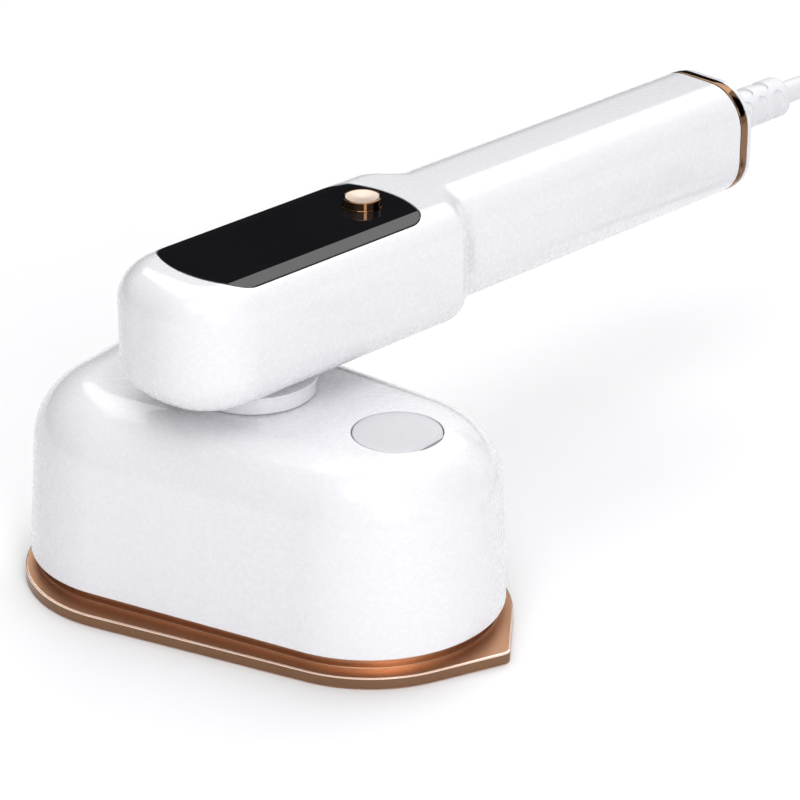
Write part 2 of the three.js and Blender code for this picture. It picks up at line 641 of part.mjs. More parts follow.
function cord() {
  add(handle, 'power_cord', tube(CORD_ROUTE, CORD.r, 24), CORD_WHITE);
  const coilTop = CORD.coilBase + 2 * CORD.r * CORD.layers;
  const [x, y] = COIL_CENTRE;
  const ring = turned([
    [CORD.coilInner, CORD.coilBase], [CORD.coilOuter, CORD.coilBase],
    [CORD.coilOuter, coilTop], [CORD.coilInner, coilTop],
  ], 32);
  add(handle, 'cord_coil', ring.translate(x, y, 0), CORD_WHITE);
  const tieOuter = box(CORD.coilInner - 1.7, CORD.coilOuter + 1.2, -5, 5, 0.1, coilTop + 1.1);
  const tieInner = box(CORD.coilInner - 0.8, CORD.coilOuter + GAP, -9, 9, CORD.coilBase - GAP, coilTop + GAP);
  const tie = cut(tieOuter, tieInner).rotate([0, 0, -60]).translate(x, y, 0);
  add(handle, 'coil_tie', tie, DARK_PLASTIC);
  add(handle, 'cord_tail', tube(TAIL_ROUTE, CORD.r, 9), CORD_WHITE);
}

// The plug lies flat: its axis is at the height of its half thickness, its two pins side by side.
function plug() {
  const group = new THREE.Group();
  const last = TAIL_ROUTE[TAIL_ROUTE.length - 1];
  group.position.set(last[0], last[1], last[2]);
  group.rotation.z = radians(PLUG_ANGLE);
  handle.add(group);
  const section = (x, halfY, halfZ) => {
    const r = Math.min(halfY, halfZ) * 0.7;
    const quarter = (cy, cz, from) => arcPoints(cy, cz, r, from, from + 90, 3);
    const ring = [
      ...quarter(halfY - r, halfZ - r, 0),
      ...quarter(r - halfY, halfZ - r, 90),
      ...quarter(r - halfY, r - halfZ, 180),
      ...quarter(halfY - r, r - halfZ, 270),
    ];
    return ring.map((p) => new THREE.Vector3(x, p.x, p.y));
  };
  const body = loft([
    section(GAP, 4, 4), section(24, 5.4, 5), section(29, 9, 6.4), section(36, 15, 7.6),
    section(46, 17.4, 8), section(55, 17.4, 8), section(56.5, 16.4, 7),
  ]);
  add(group, 'plug_body', body, CORD_WHITE);
  for (const [name, side] of [['left', 1], ['right', -1]]) {
    const root = bar('x', 2, 56.8, 66, side * 9.5, 0, 10);
    const contact = bar('x', 2.4, 65.9, 74.5, side * 9.5, 0, 10);
    add(group, `plug_pin_${name}`, join(root, contact), BRASS);
  }
}

soleplate();
heater();
heatShield();
waterTank();
pump();
headHousing();
fillerCap();
headHarness();
swivel();
handleShells();
button();
electronics();
tailPieces();
cord();
plug();

export default steamer;
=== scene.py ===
# Travel steam iron on a plain pale floor: a steam head on a rose-gold soleplate, and a swivelling handle.
# Lengths are in millimetres until a mesh is made, and every object is in metres with +Z up.

import json
import math

import bmesh
import bpy
from mathutils import Matrix, Vector


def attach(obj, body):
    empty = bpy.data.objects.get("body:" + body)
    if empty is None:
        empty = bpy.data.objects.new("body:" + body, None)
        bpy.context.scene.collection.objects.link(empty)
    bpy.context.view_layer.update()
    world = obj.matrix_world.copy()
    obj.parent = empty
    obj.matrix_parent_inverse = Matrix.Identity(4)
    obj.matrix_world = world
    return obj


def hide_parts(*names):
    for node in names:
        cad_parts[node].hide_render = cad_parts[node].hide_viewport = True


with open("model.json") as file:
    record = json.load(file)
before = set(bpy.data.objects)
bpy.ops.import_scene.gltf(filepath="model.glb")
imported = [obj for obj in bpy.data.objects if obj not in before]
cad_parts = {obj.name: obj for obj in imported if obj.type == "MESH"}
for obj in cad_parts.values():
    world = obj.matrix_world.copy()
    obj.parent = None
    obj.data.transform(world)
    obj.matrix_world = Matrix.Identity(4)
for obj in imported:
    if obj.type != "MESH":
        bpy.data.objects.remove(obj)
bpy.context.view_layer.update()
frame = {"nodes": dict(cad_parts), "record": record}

MM = 0.001

# ---------------------------------------------------------------- driving dimensions

# The handle is made along +X and then turned: s runs along it from the swivel, and t across it.
# GAP is the room between pieces that meet.

GAP = 0.3
HEAD = dict(nose_x=36, nose_r=35.6, rear_x=-27.3, rear_y=7.3, rear_r=34.2, bottom=7.3, top=56.5, fillet=17,
            draft=1.6, shift=1, wall=2.2, edge=0.4)
SOLE = dict(nose_x=36.5, nose_r=37.1, rear_x=-25.6, rear_y=9.2, rear_r=36, tip_x=75.9, tip_r=3, thick=3.4,
            bevel=0.5, ledge_inset=1.4, ledge_top=4.5, step_inset=3.2, step_top=7)
STEAM_HOLES = dict(r=1.3, nose_x=52, first_x=-28, pitch=11, per_row=7, row_y=11)
CAP = dict(x=44.8, r=11.6, thick=2.3, notch=9.6, notch_depth=1.2, turn=-5, dish=0.5, stem_r=6.2,
           stem_bottom=49.3, mouth_r=7.3, cup_bottom=52, seat_rim=0.15)
NECK = dict(r=16.3, lip_r=17, shaft_r=11.7, bore_r=8, shaft_bottom=48.6, shaft_top=69)
HANDLE = dict(angle=78.5, front=-37.3, end=172.5, pod_half=22, grip_half=17, pod_bottom=62.1,
              grip_bottom=63.5, top=96.7, plan_r=20, pod_top_r=9, pod_bottom_r=11.5, grip_r=12,
              shoulder_start=54, shoulder_length=11, wall=2.6, cover_inset=6.5, cover_top=74, axis_z=81.6)
LENS = dict(front=-23.2, rear=49.9, half=17.2, end_r=30, corner_r=7, thick=1.2, crease=13.0, edge_drop=1.04)
DISPLAY = dict(front=-12, rear=20, half=9)
BUTTON = dict(s=39.2, r=5, top=99.2, flange_r=5.9, flange_thick=0.9, bezel_r=5.38)
RING = dict(start=172.8, end=175.6, cap_start=175.9, cap_end=177.9, thick=2.6)
RELIEF = dict(start=170.4, end=208.8, r=6, flange_r=8, flange_end=174.2, slot=3.6, pitch=6.8, depth=0.75,
              first=189.8, slots=3, half_turn=86, lean=38)
SCREW = dict(head_r=2.6, recess_r=2.9, shank_r=1.4, hole_r=1.7, arm_half=1.7, arm_width=0.35, top=75)
SCREW_PLACES = [(-28, 0), (56, 8), (56, -8), (148, 6.2)]

CORD = dict(r=3.4, length=1.66)
COIL = dict(outer=41.4, inner=34.6, base=4.6, centre=(236.7, -79.1), start=135.35)
TIE = dict(inner=30.4, outer=45.1, base=0.9, top=21.9, half_width=5, thick=0.8, angle=-60)
PLUG = dict(angle=225.35, pin_y=9.5, groove_x=44.5, groove_pitch=2.6, groove_y=18.1)

CORD_ROUTE = [
    (209.1, 0, 81.6), (214.5, 0, 81.6), (220.5, 0, 81.4), (228, 0, 80.4), (235.2, 0, 78.1), (242, 0, 74.2),
    (248.3, 0, 68.6), (253.4, 0, 61.4), (256.8, 0, 53.1), (258.2, -0.2, 44.5), (257.6, -0.8, 36),
    (255.3, -3, 27.8), (251.3, -7, 19.9), (245.8, -12.5, 13), (239, -19.2, 7.7), (231.6, -26.5, 4.7),
    (225.4, -32.6, 3.8),
]
TAIL_ROUTE = [
    (189.6, -67.9, 16.2), (184.7, -72.9, 14.1), (179.8, -77.9, 11.7), (174.9, -82.8, 9.7),
    (170, -87.8, 8.5), (165.1, -92.7, 8.2),
]

CAMERA = dict(azimuth=33.9, elevation=25.9, lens=157.5, sensor=36, distance=909, right=37.8, down=2.88)

# ---------------------------------------------------------------- camera


def make_camera():
    azimuth, elevation = math.radians(CAMERA["azimuth"]), math.radians(CAMERA["elevation"])
    right = Vector((math.cos(azimuth), math.sin(azimuth), 0))
    forward = Vector((-math.sin(azimuth) * math.cos(elevation), math.cos(azimuth) * math.cos(elevation),
                      -math.sin(elevation)))
    up = right.cross(forward)
    data = bpy.data.cameras.new("camera")
    data.lens = CAMERA["lens"]
    data.sensor_width = CAMERA["sensor"]
    data.clip_start, data.clip_end = 0.05, 50
    camera = bpy.data.objects.new("camera", data)
    bpy.context.scene.collection.objects.link(camera)
    swivel_top = Vector((0, 0, HEAD["top"]))
    spot = swivel_top - CAMERA["distance"] * forward + CAMERA["right"] * right - CAMERA["down"] * up
    turn = Matrix((right, up, -forward)).transposed().to_4x4()
    camera.matrix_world = Matrix.Translation(spot * MM) @ turn
    bpy.context.scene.camera = camera


make_camera()

# ---------------------------------------------------------------- meshes

HANDLE_TURN = Matrix.Rotation(math.radians(HANDLE["angle"]), 4, "Z")


def smooth(value):
    """From 0 to 1 with a level start and end."""
    return (1 - math.cos(math.pi * min(max(value, 0), 1))) / 2


def mix(a, b, share):
    return a + (b - a) * share


def new_object(name, mesh):
    thing = bpy.data.objects.new(name, mesh)
    bpy.context.scene.collection.objects.link(thing)
    return thing


def solid(name, points, faces):
    """A closed mesh from points in millimetres, with its faces turned outward."""
    mesh = bpy.data.meshes.new(name)
    mesh.from_pydata([Vector(p) * MM for p in points], [], faces)
    work = bmesh.new()
    work.from_mesh(mesh)
    bmesh.ops.remove_doubles(work, verts=work.verts, dist=1e-7)
    bmesh.ops.dissolve_degenerate(work, edges=work.edges, dist=1e-7)
    bmesh.ops.recalc_face_normals(work, faces=work.faces)
    work.to_mesh(mesh)
    work.free()
    return new_object(name, mesh)


def loft(name, rings, closed=False):
    """A skin over rings of equally many points, with flat ends, or joined from last to first."""
    size = len(rings[0])
    points = [p for ring in rings for p in ring]
    faces = []
    for i in range(len(rings) if closed else len(rings) - 1):
        a, b = i * size, (i + 1) % len(rings) * size
        for j in range(size):
            k = (j + 1) % size
            faces.append((a + j, a + k, b + k, b + j))
    if not closed:
        faces.append(tuple(reversed(range(size))))
        faces.append(tuple(range((len(rings) - 1) * size, len(rings) * size)))
    return solid(name, points, faces)


def turned(name, profile, sides=96, x=0.0, y=0.0):
    """A turned solid about a vertical axis, from a closed profile of (radius, height)."""
    rings = []
    for i in range(sides):
        angle = 2 * math.pi * i / sides
        rings.append([(x + r * math.cos(angle), y + r * math.sin(angle), z) for r, z in profile])
    return loft(name, rings, closed=True)


def prism(name, outline, z0, z1):
    return loft(name, [[(x, y, z0) for x, y in outline], [(x, y, z1) for x, y in outline]])


def box(name, x0, x1, y0, y1, z0, z1):
    return prism(name, [(x0, y0), (x1, y0), (x1, y1), (x0, y1)], z0, z1)


def rod(name, r, z0, z1, x=0.0, y=0.0, sides=48):
    return prism(name, arc(x, y, r, 0, 360 * (1 - 1 / sides), sides - 1), z0, z1)


def combine(target, operation, *tools):
    """Cuts, joins or intersects target with each tool, and removes the tools."""
    for tool in tools:
        modifier = target.modifiers.new("combine", "BOOLEAN")
        modifier.operation = operation
        modifier.object = tool
        modifier.solver = "EXACT"
        graph = bpy.context.evaluated_depsgraph_get()
        made = bpy.data.meshes.new_from_object(target.evaluated_get(graph))
        target.modifiers.clear()
        target.data = made
        bpy.data.objects.remove(tool)
    return target


def cut(target, *tools):
    return combine(target, "DIFFERENCE", *tools)


def bevel_edges(target, width, degrees, segments=2):
    """Rounds every edge that turns by more than degrees."""
    modifier = target.modifiers.new("bevel", "BEVEL")
    modifier.width = width * MM
    modifier.segments = segments
    modifier.limit_method = "ANGLE"
    modifier.angle_limit = math.radians(degrees)
    graph = bpy.context.evaluated_depsgraph_get()
    made = bpy.data.meshes.new_from_object(target.evaluated_get(graph))
    target.modifiers.clear()
    target.data = made
    return target


def finish_piece(target, body, slot_name, *nodes, crease=32, turn=None, finish=None):
    """Finishes a piece: its shading, its material, the body it rides on and the CAD nodes it stands for."""
    if turn is not None:
        target.data.transform(turn)
    work = bmesh.new()
    work.from_mesh(target.data)
    for face in work.faces:
        face.smooth = True
    limit = math.radians(crease)
    for edge in work.edges:
        edge.smooth = len(edge.link_faces) == 2 and edge.calc_face_angle(0) < limit
    work.to_mesh(target.data)
    work.free()
    weighted = target.modifiers.new("weighted", "WEIGHTED_NORMAL")
    weighted.keep_sharp = True
    target.data.materials.clear()
    target.data.materials.append(MATERIALS[finish or slot_name])
    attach(target, body)
    if nodes:
        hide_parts(*nodes)
    return target


def refinish(piece, finish, picks):
    """Gives another material to the faces that picks(centre in millimetres, normal) chooses: a finish of
    their own for the knob's face, painted shade and painted highlight elsewhere.
    """
    piece.data.materials.append(MATERIALS[finish])
    index = len(piece.data.materials) - 1
    for face in piece.data.polygons:
        if picks(face.center / MM, face.normal):
            face.material_index = index


# ---------------------------------------------------------------- outlines


def arc(x, y, r, start, end, steps):
    """Points on a circle from the start angle to the end angle, in degrees."""
    points = []
    for i in range(steps + 1):
        angle = math.radians(mix(start, end, i / steps))
        points.append((x + r * math.cos(angle), y + r * math.sin(angle)))
    return points


def round_hull(circles, degrees_per_step=3):
    """The tight outline round circles (x, y, r) that are given anticlockwise."""
    normals = []
    for i, (x, y, r) in enumerate(circles):
        nx, ny, nr = circles[(i + 1) % len(circles)]
        along = math.atan2(ny - y, nx - x)
        lean = math.acos((r - nr) / math.hypot(nx - x, ny - y))
        normals.append(math.degrees(along - lean))
    points = []
    for i, (x, y, r) in enumerate(circles):
        start = normals[i - 1]
        turn = (normals[i] - start) % 360
        steps = max(1, round(turn / degrees_per_step))
        points += arc(x, y, r, start, start + turn, steps)
    return points


def head_outline(inset):
    rear_r = HEAD["rear_r"] - inset
    return round_hull([
        (HEAD["nose_x"], 0, HEAD["nose_r"] - inset),
        (HEAD["rear_x"], HEAD["rear_y"], rear_r),
        (HEAD["rear_x"], -HEAD["rear_y"], rear_r),
    ])


def sole_outline(inset):
    nose = (SOLE["nose_x"], 0, SOLE["nose_r"] - inset)
    rear_r = SOLE["rear_r"] - inset
    return round_hull([
        (SOLE["tip_x"], 0, SOLE["tip_r"] - inset),
        nose,
        (SOLE["rear_x"], SOLE["rear_y"], rear_r),
        (SOLE["rear_x"], -SOLE["rear_y"], rear_r),
        nose,
    ])


def head_form(name, inset, bottom, steps=15):
    """The head's outside, or the same shape standing in by inset all round."""
    edge = HEAD["edge"]
    rings = []
    for degrees in (0, 45, 90):
        rise = math.radians(degrees)
        outline = head_outline(inset + edge * (1 - math.sin(rise)))
        rings.append([(x, y, bottom + edge * (1 - math.cos(rise))) for x, y in outline])
    fillet = HEAD["fillet"] - inset
    start = HEAD["top"] - HEAD["fillet"]
    for i in range(steps + 1):
        angle = math.pi / 2 * i / steps
        lean = HEAD["draft"] + inset + fillet * (1 - math.cos(angle))
        z = start + fillet * math.sin(angle)
        shift = HEAD["shift"] * (z - HEAD["bottom"]) / (HEAD["top"] - HEAD["bottom"])
        rings.append([(x + shift, y, z) for x, y in head_outline(lean)])
    return loft(name, rings)


def handle_at(s):
    """The handle's half width, bottom and corner radii at a distance s along it."""
    share = smooth((s - HANDLE["shoulder_start"]) / HANDLE["shoulder_length"])
    return (mix(HANDLE["pod_half"], HANDLE["grip_half"], share),
            mix(HANDLE["pod_bottom"], HANDLE["grip_bottom"], share),
            mix(HANDLE["pod_top_r"], HANDLE["grip_r"], share),
            mix(HANDLE["pod_bottom_r"], HANDLE["grip_r"], share))


def handle_half(s, inset):
    """Half the handle's width at s for an outline that stands in by inset; the front is an arc."""
    from_front = s - HANDLE["front"]
    half = handle_at(s)[0]
    if from_front >= HANDLE["plan_r"]:
        return half - inset
    reach = (HANDLE["plan_r"] - inset) ** 2 - (HANDLE["plan_r"] - from_front) ** 2
    return half - HANDLE["plan_r"] + math.sqrt(max(0, reach))


def corner(s, inset, r, centre_z, up, steps):
    """One corner arc of the handle's section, cut short where the rounded front runs into it."""
    depth = s - HANDLE["front"] - inset
    most = math.acos(min(max(1 - depth / r, 0), 1)) if depth < r else math.pi / 2
    points = []
    for i in range(steps + 1):
        angle = most * i / steps
        half = handle_half(s, inset + r * (1 - math.cos(angle)))
        points.append((half, centre_z + up * r * math.sin(angle)))
    return points


def handle_section(s, inset, steps=10, at=None):
    """One cross-section of the handle at s: two corner arcs at the top and two at the bottom."""
    _, bottom_z, top_r, bottom_r = handle_at(s)
    top = corner(s, inset, top_r - inset, HANDLE["top"] - top_r, 1, steps)
    bottom = corner(s, inset, bottom_r - inset, bottom_z + bottom_r, -1, steps)
    ring = top + [(-t, z) for t, z in reversed(top)] + [(-t, z) for t, z in bottom] + bottom[::-1]
    return [(s if at is None else at, t, z) for t, z in ring]


def handle_form(name, inset, end, edge=0.0):
    """The handle's outside, or the same shape standing in by inset, up to the distance end."""
    front = HANDLE["front"] + inset
    reach = HANDLE["plan_r"] - inset
    stops = [front + reach * (1 - math.cos(math.radians(6 * i))) for i in range(16)]
    stops += [mix(front + reach, HANDLE["shoulder_start"], i / 4) for i in range(1, 4)]
    stops += [HANDLE["shoulder_start"] + HANDLE["shoulder_length"] * i / 14 for i in range(15)]
    stops += [mix(HANDLE["shoulder_start"] + HANDLE["shoulder_length"], end, i / 6) for i in range(1, 6)]
    rings = [handle_section(s, inset) for s in stops]
    if edge:
        rings.append(handle_section(end - edge, inset))
        rings.append(handle_section(end, inset + edge * 0.3, at=end - edge * 0.3))
        rings.append(handle_section(end, inset + edge, at=end))
    else:
        rings.append(handle_section(end, inset))
    return loft(name, rings)


def handle_plan(inset, end):
    """The handle seen from above, standing in by inset, up to the distance end."""
    front = HANDLE["front"] + inset
    reach = HANDLE["plan_r"] - inset
    side = [front + reach * (1 - math.cos(math.radians(5 * i))) for i in range(19)]
    side += [HANDLE["shoulder_start"] + HANDLE["shoulder_length"] * i / 10 for i in range(11)]
    side.append(end)
    right = [(s, -handle_half(s, inset)) for s in side]
    left = [(s, handle_half(s, inset)) for s in reversed(side)]
    return right + left


def lens_outline(grow):
    """The black panel seen from above: bowed ends and rounded corners between straight sides."""
    end_r = LENS["end_r"] + grow
    corner_r = LENS["corner_r"] + grow
    corner_y = LENS["half"] + grow - corner_r
    reach = math.sqrt((end_r - corner_r) ** 2 - corner_y ** 2)
    turn = math.degrees(math.asin(corner_y / (end_r - corner_r)))
    rear = LENS["rear"] - LENS["end_r"]
    front = LENS["front"] + LENS["end_r"]
    return (
        arc(rear + reach, -corner_y, corner_r, -90, -turn, 14)
        + arc(rear, 0, end_r, -turn, turn, 16)[1:-1]
        + arc(rear + reach, corner_y, corner_r, turn, 90, 14)
        + arc(front - reach, corner_y, corner_r, 90, 180 - turn, 14)
        + arc(front, 0, end_r, 180 - turn, 180 + turn, 16)[1:-1]
        + arc(front - reach, -corner_y, corner_r, 180 + turn, 270, 14)
    )


# ---------------------------------------------------------------- materials


def noise(nodes, links, coordinate, scale, detail=3.0):
    texture = nodes.new("ShaderNodeTexNoise")
    texture.inputs["Scale"].default_value = scale
    texture.inputs["Detail"].default_value = detail
    links.new(coordinate, texture.inputs["Vector"])
    return texture.outputs["Fac"]


def ranged(nodes, links, value, low, high):
    """The middle of a noise's range, stretched from low to high."""
    node = nodes.new("ShaderNodeMapRange")
    node.inputs["From Min"].default_value = 0.3
    node.inputs["From Max"].default_value = 0.7
    node.inputs["To Min"].default_value = low
    node.inputs["To Max"].default_value = high
    links.new(value, node.inputs["Value"])
    return node.outputs["Result"]


def surface(name, color, rough, spread=0.04, tint=0.03, mottle=60, grain=900, relief=0.02, depth=0.05,
            stretch=(1, 1, 1), **constants):
    """A procedural finish: mottled colour and roughness, and a fine relief. Scales are per metre."""
    material = bpy.data.materials.new(name)
    material.use_nodes = True
    nodes, links = material.node_tree.nodes, material.node_tree.links
    shader = nodes["Principled BSDF"]
    where = nodes.new("ShaderNodeTexCoord").outputs["Object"]
    mapping = nodes.new("ShaderNodeMapping")
    mapping.inputs["Scale"].default_value = stretch
    links.new(where, mapping.inputs["Vector"])
    where = mapping.outputs["Vector"]
    broad = noise(nodes, links, where, mottle)
    fine = noise(nodes, links, where, grain, 4.0)
    ramp = nodes.new("ShaderNodeValToRGB")
    ramp.color_ramp.elements[0].position = 0.3
    ramp.color_ramp.elements[1].position = 0.7
    ramp.color_ramp.elements[0].color = [c * (1 - tint) for c in color] + [1]
    ramp.color_ramp.elements[1].color = [min(1, c * (1 + tint)) for c in color] + [1]
    links.new(broad, ramp.inputs["Fac"])
    links.new(ramp.outputs["Color"], shader.inputs["Base Color"])
    varied = ranged(nodes, links, fine, max(0.01, rough - spread), rough + spread)
    links.new(varied, shader.inputs["Roughness"])
    bump = nodes.new("ShaderNodeBump")
    bump.inputs["Strength"].default_value = relief
    bump.inputs["Distance"].default_value = depth * MM
    links.new(fine, bump.inputs["Height"])
    links.new(bump.outputs["Normal"], shader.inputs["Normal"])
    for socket, value in constants.items():
        shader.inputs[socket.replace("_", " ")].default_value = value
    return material


FINISHES = {
    "white_shell": dict(color=(0.81, 0.81, 0.83), rough=0.27, spread=0.02, tint=0.003, mottle=35,
                        grain=700, relief=0.01, depth=0.002, Coat_Weight=0.6, Coat_Roughness=0.06),
    # Painted shade: the lid is the shell's white plastic in a satin finish, with its colour set darker to
    # stand in for the shade on it.
    "lid_white_painted_shade": dict(color=(0.62, 0.62, 0.64), rough=0.42, spread=0.03, tint=0.003, mottle=35,
                      grain=700, relief=0.01, depth=0.002),
    # Painted shade: a darker copy of the lid's white for the shade in the finger notch.
    "lid_recess_painted_shade": dict(color=(0.42, 0.42, 0.44), rough=0.5, spread=0.03, tint=0.003, mottle=35,
                       grain=700, relief=0.01, depth=0.002),
    "rose_gold": dict(color=(0.62, 0.35, 0.21), rough=0.44, spread=0.04, tint=0.03, mottle=45,
                      grain=2600, relief=0.05, depth=0.01, Metallic=1.0),
    # Painted shade: a darker copy of the rose gold for the soleplate's upright sides.
    "rose_gold_side_painted_shade": dict(color=(0.245, 0.137, 0.08), rough=0.3, spread=0.04, tint=0.03, mottle=45,
                           grain=2600, relief=0.05, depth=0.01, Metallic=1.0),
    # Painted highlight: a paler copy of the rose gold that paints the bright line of reflected light along
    # the flange's bevel.
    "rose_gold_bevel_painted_highlight": dict(color=(0.98, 0.74, 0.6), rough=0.22, spread=0.04, tint=0.02, mottle=45,
                            grain=2600, relief=0.02, depth=0.01, Metallic=1.0),
    "polished_gold": dict(color=(0.26, 0.14, 0.074), rough=0.06, spread=0.015, tint=0.02, mottle=45,
                          grain=1800, relief=0.01, depth=0.01, Metallic=1.0),
    "knob_face": dict(color=(0.75, 0.63, 0.53), rough=0.45, spread=0.04, tint=0.02, mottle=90,
                      grain=2600, relief=0.05, depth=0.01, Metallic=1.0),
    "black_lens": dict(color=(0.006, 0.006, 0.007), rough=0.045, spread=0.015, tint=0.1, mottle=50,
                       grain=300, relief=0.01, depth=0.02),
    "cast_aluminium": dict(color=(0.6, 0.61, 0.62), rough=0.5, spread=0.1, tint=0.08, mottle=120,
                           grain=1500, relief=0.6, depth=0.15, Metallic=1.0),
    "steel": dict(color=(0.52, 0.53, 0.54), rough=0.32, spread=0.08, tint=0.05, mottle=90, grain=1400,
                  relief=0.2, depth=0.05, stretch=(1, 1, 6), Metallic=1.0),
    "brass": dict(color=(0.62, 0.48, 0.22), rough=0.3, spread=0.08, tint=0.06, mottle=110, grain=1600,
                  relief=0.15, depth=0.05, stretch=(1, 1, 4), Metallic=1.0),
    "copper": dict(color=(0.5, 0.2, 0.08), rough=0.35, spread=0.08, tint=0.1, mottle=200, grain=900,
                   relief=0.5, depth=0.2, stretch=(6, 1, 1), Metallic=1.0),
    "silicone": dict(color=(0.68, 0.68, 0.65), rough=0.6, spread=0.08, tint=0.03, grain=1300,
                     relief=0.15, depth=0.05, Subsurface_Weight=0.1),
    "tank_plastic": dict(color=(0.72, 0.79, 0.82), rough=0.35, spread=0.07, tint=0.03, grain=700,
                         relief=0.12, depth=0.05, Transmission_Weight=0.25),
    "dark_plastic": dict(color=(0.016, 0.016, 0.018), rough=0.55, spread=0.08, tint=0.15, grain=1700,
                         relief=0.35, depth=0.08),
    "circuit_board": dict(color=(0.01, 0.09, 0.04), rough=0.4, spread=0.1, tint=0.2, mottle=220,
                          grain=900, relief=0.2, depth=0.05),
    "wire_sleeve": dict(color=(0.33, 0.04, 0.025), rough=0.5, spread=0.08, tint=0.08, grain=1500,
                        relief=0.25, depth=0.06),
    "cord_sheath": dict(color=(0.76, 0.76, 0.78), rough=0.42, spread=0.05, tint=0.008, mottle=40,
                        grain=900, relief=0.03, depth=0.01),
}
MATERIALS = {name: surface(name, **finish) for name, finish in FINISHES.items()}

# ---------------------------------------------------------------- cord


def curve_through(points, steps=6):
    """The points of a smooth curve through points, each stretch cut into steps."""
    line = []
    ends = [points[0]] + list(points) + [points[-1]]
    for i in range(len(points) - 1):
        a, b, c, d = (Vector(p) for p in ends[i:i + 4])
        for k in range(steps):
            u = k / steps
            line.append(0.5 * (2 * b + (c - a) * u + (2 * a - 5 * b + 4 * c - d) * u ** 2
                               + (3 * b - a - 3 * c + d) * u ** 3))
    line.append(Vector(points[-1]))
    return line


def coil_stations():
    """The winding as (degrees turned, radius, height): level, with a shift to the next place in between."""
    outer, inner = COIL["outer"], COIL["inner"]
    low, middle, high = (COIL["base"] + 2 * CORD["r"] * layer for layer in range(3))
    return [
        (0, outer, low), (300, outer, low), (360, inner, low), (610, inner, low),
        (720, inner, middle), (950, inner, middle), (1040, outer, middle), (1270, outer, middle),
        (1350, outer, high), (1430, inner, high), (1700, inner, high), (1800, outer, high),
        (2160, outer, high),
    ]


def winding(degrees_per_step=9):
    x, y = COIL["centre"]
    stations = coil_stations()
    line = []
    for (turn0, r0, z0), (turn1, r1, z1) in zip(stations, stations[1:]):
        steps = max(1, round((turn1 - turn0) / degrees_per_step))
        for i in range(steps):
            share = i / steps
            angle = math.radians(COIL["start"] + mix(turn0, turn1, share))
            r = mix(r0, r1, smooth(share))
            z = mix(z0, z1, smooth(share))
            line.append(Vector((x + r * math.cos(angle), y + r * math.sin(angle), z)))
    return line


def cord_line():
    """The whole cord: out of the handle and down, round the coil, and on to the plug."""
    out = curve_through(CORD_ROUTE, 4)
    coil = winding()
    tail = curve_through(TAIL_ROUTE, 4)
    lead_in = [out[-1].lerp(coil[0], i / 4) for i in range(1, 4)]
    lead_out = [coil[-1].lerp(tail[0], i / 5) for i in range(1, 5)]
    return out + lead_in + coil + lead_out + tail


def make_cord():
    line = [HANDLE_TURN @ (p * MM) for p in cord_line()]
    data = bpy.data.curves.new("mains_cord", "CURVE")
    data.dimensions = "3D"
    data.bevel_depth = CORD["r"] * MM
    data.bevel_resolution = 5
    data.use_fill_caps = True
    spline = data.splines.new("POLY")
    spline.points.add(len(line) - 1)
    for point, spot in zip(spline.points, line):
        point.co = (*spot, 1)
    data.materials.append(MATERIALS["cord_sheath"])
    cord = new_object("mains_cord", data)
    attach(cord, "handle")
    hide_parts("power_cord", "cord_coil", "cord_tail")
    return cord


def rounded_box(half_y, half_z, r, steps=6):
    """A rectangle with round corners, as points (y, z)."""
    ring = []
    for cy, cz, start in ((half_y - r, half_z - r, 0), (r - half_y, half_z - r, 90),
                          (r - half_y, r - half_z, 180), (half_y - r, r - half_z, 270)):
        ring += arc(cy, cz, r, start, start + 90, steps)
    return ring


def plug_frame():
    """Where the plug lies: at the cord's far end, pointing along it."""
    tip = Vector(TAIL_ROUTE[-1]) * MM
    return HANDLE_TURN @ Matrix.Translation(tip) @ Matrix.Rotation(math.radians(PLUG["angle"]), 4, "Z")


def make_plug():
    """A moulded two-pin plug: a ringed, tapered neck, a flat body with finger grooves, and two round pins."""
    stations = [
        (0.3, 4, 4), (4, 4.2, 4.15), (24, 5.4, 5), (27, 6.6, 5.6), (30, 9.6, 6.5), (33, 12.9, 7.1),
        (36.5, 15.2, 7.6), (41, 16.6, 7.9), (46, 17.4, 8), (55, 17.4, 8), (56.1, 17.0, 7.6), (56.5, 16.4, 7),
    ]
    ring_start, ring_end, ring_spacing, ring_depth = 6.6, 22.2, 1.7, 0.35
    rings = []
    for x, half_y, half_z in curve_stations(stations, 5):
        wave = math.cos(math.pi * (x - 7.5) / ring_spacing)
        ridge = ring_depth * max(0, wave) if ring_start < x < ring_end else 0
        ring = rounded_box(half_y - ridge, half_z - ridge, min(half_y, half_z) * 0.8 - ridge)
        rings.append([(x, y, z) for y, z in ring])
    body = loft("plug_moulding", rings)
    tools = []
    for side in (-1, 1):
        for i in range(4):
            x = PLUG["groove_x"] + PLUG["groove_pitch"] * i
            tools.append(rod("groove", 0.9, -6, 6, x, side * PLUG["groove_y"], 16))
    cut(body, *tools)
    finish_piece(body, "handle", "cord_sheath", "plug_body", turn=plug_frame())
    pins = []
    for name, side in (("left", 1), ("right", -1)):
        profile = [(0, 56.8), (2, 56.8), (2, 65.8), (2.4, 66.1), (2.4, 73), (2.1, 73.9), (1.4, 74.4),
                   (0, 74.5)]
        pin = turned(f"plug_contact_{name}", profile, 32)
        lie = Matrix.Translation((0, side * PLUG["pin_y"] * MM, 0)) @ Matrix.Rotation(math.pi / 2, 4, "Y")
        pins.append(finish_piece(pin, "handle", "brass", f"plug_pin_{name}", turn=plug_frame() @ lie))
    return [body, *pins]


def curve_stations(stations, steps):
    """The stations again with steps between neighbours, on a smooth curve."""
    return [tuple(p) for p in curve_through([Vector(p) for p in stations], steps)]


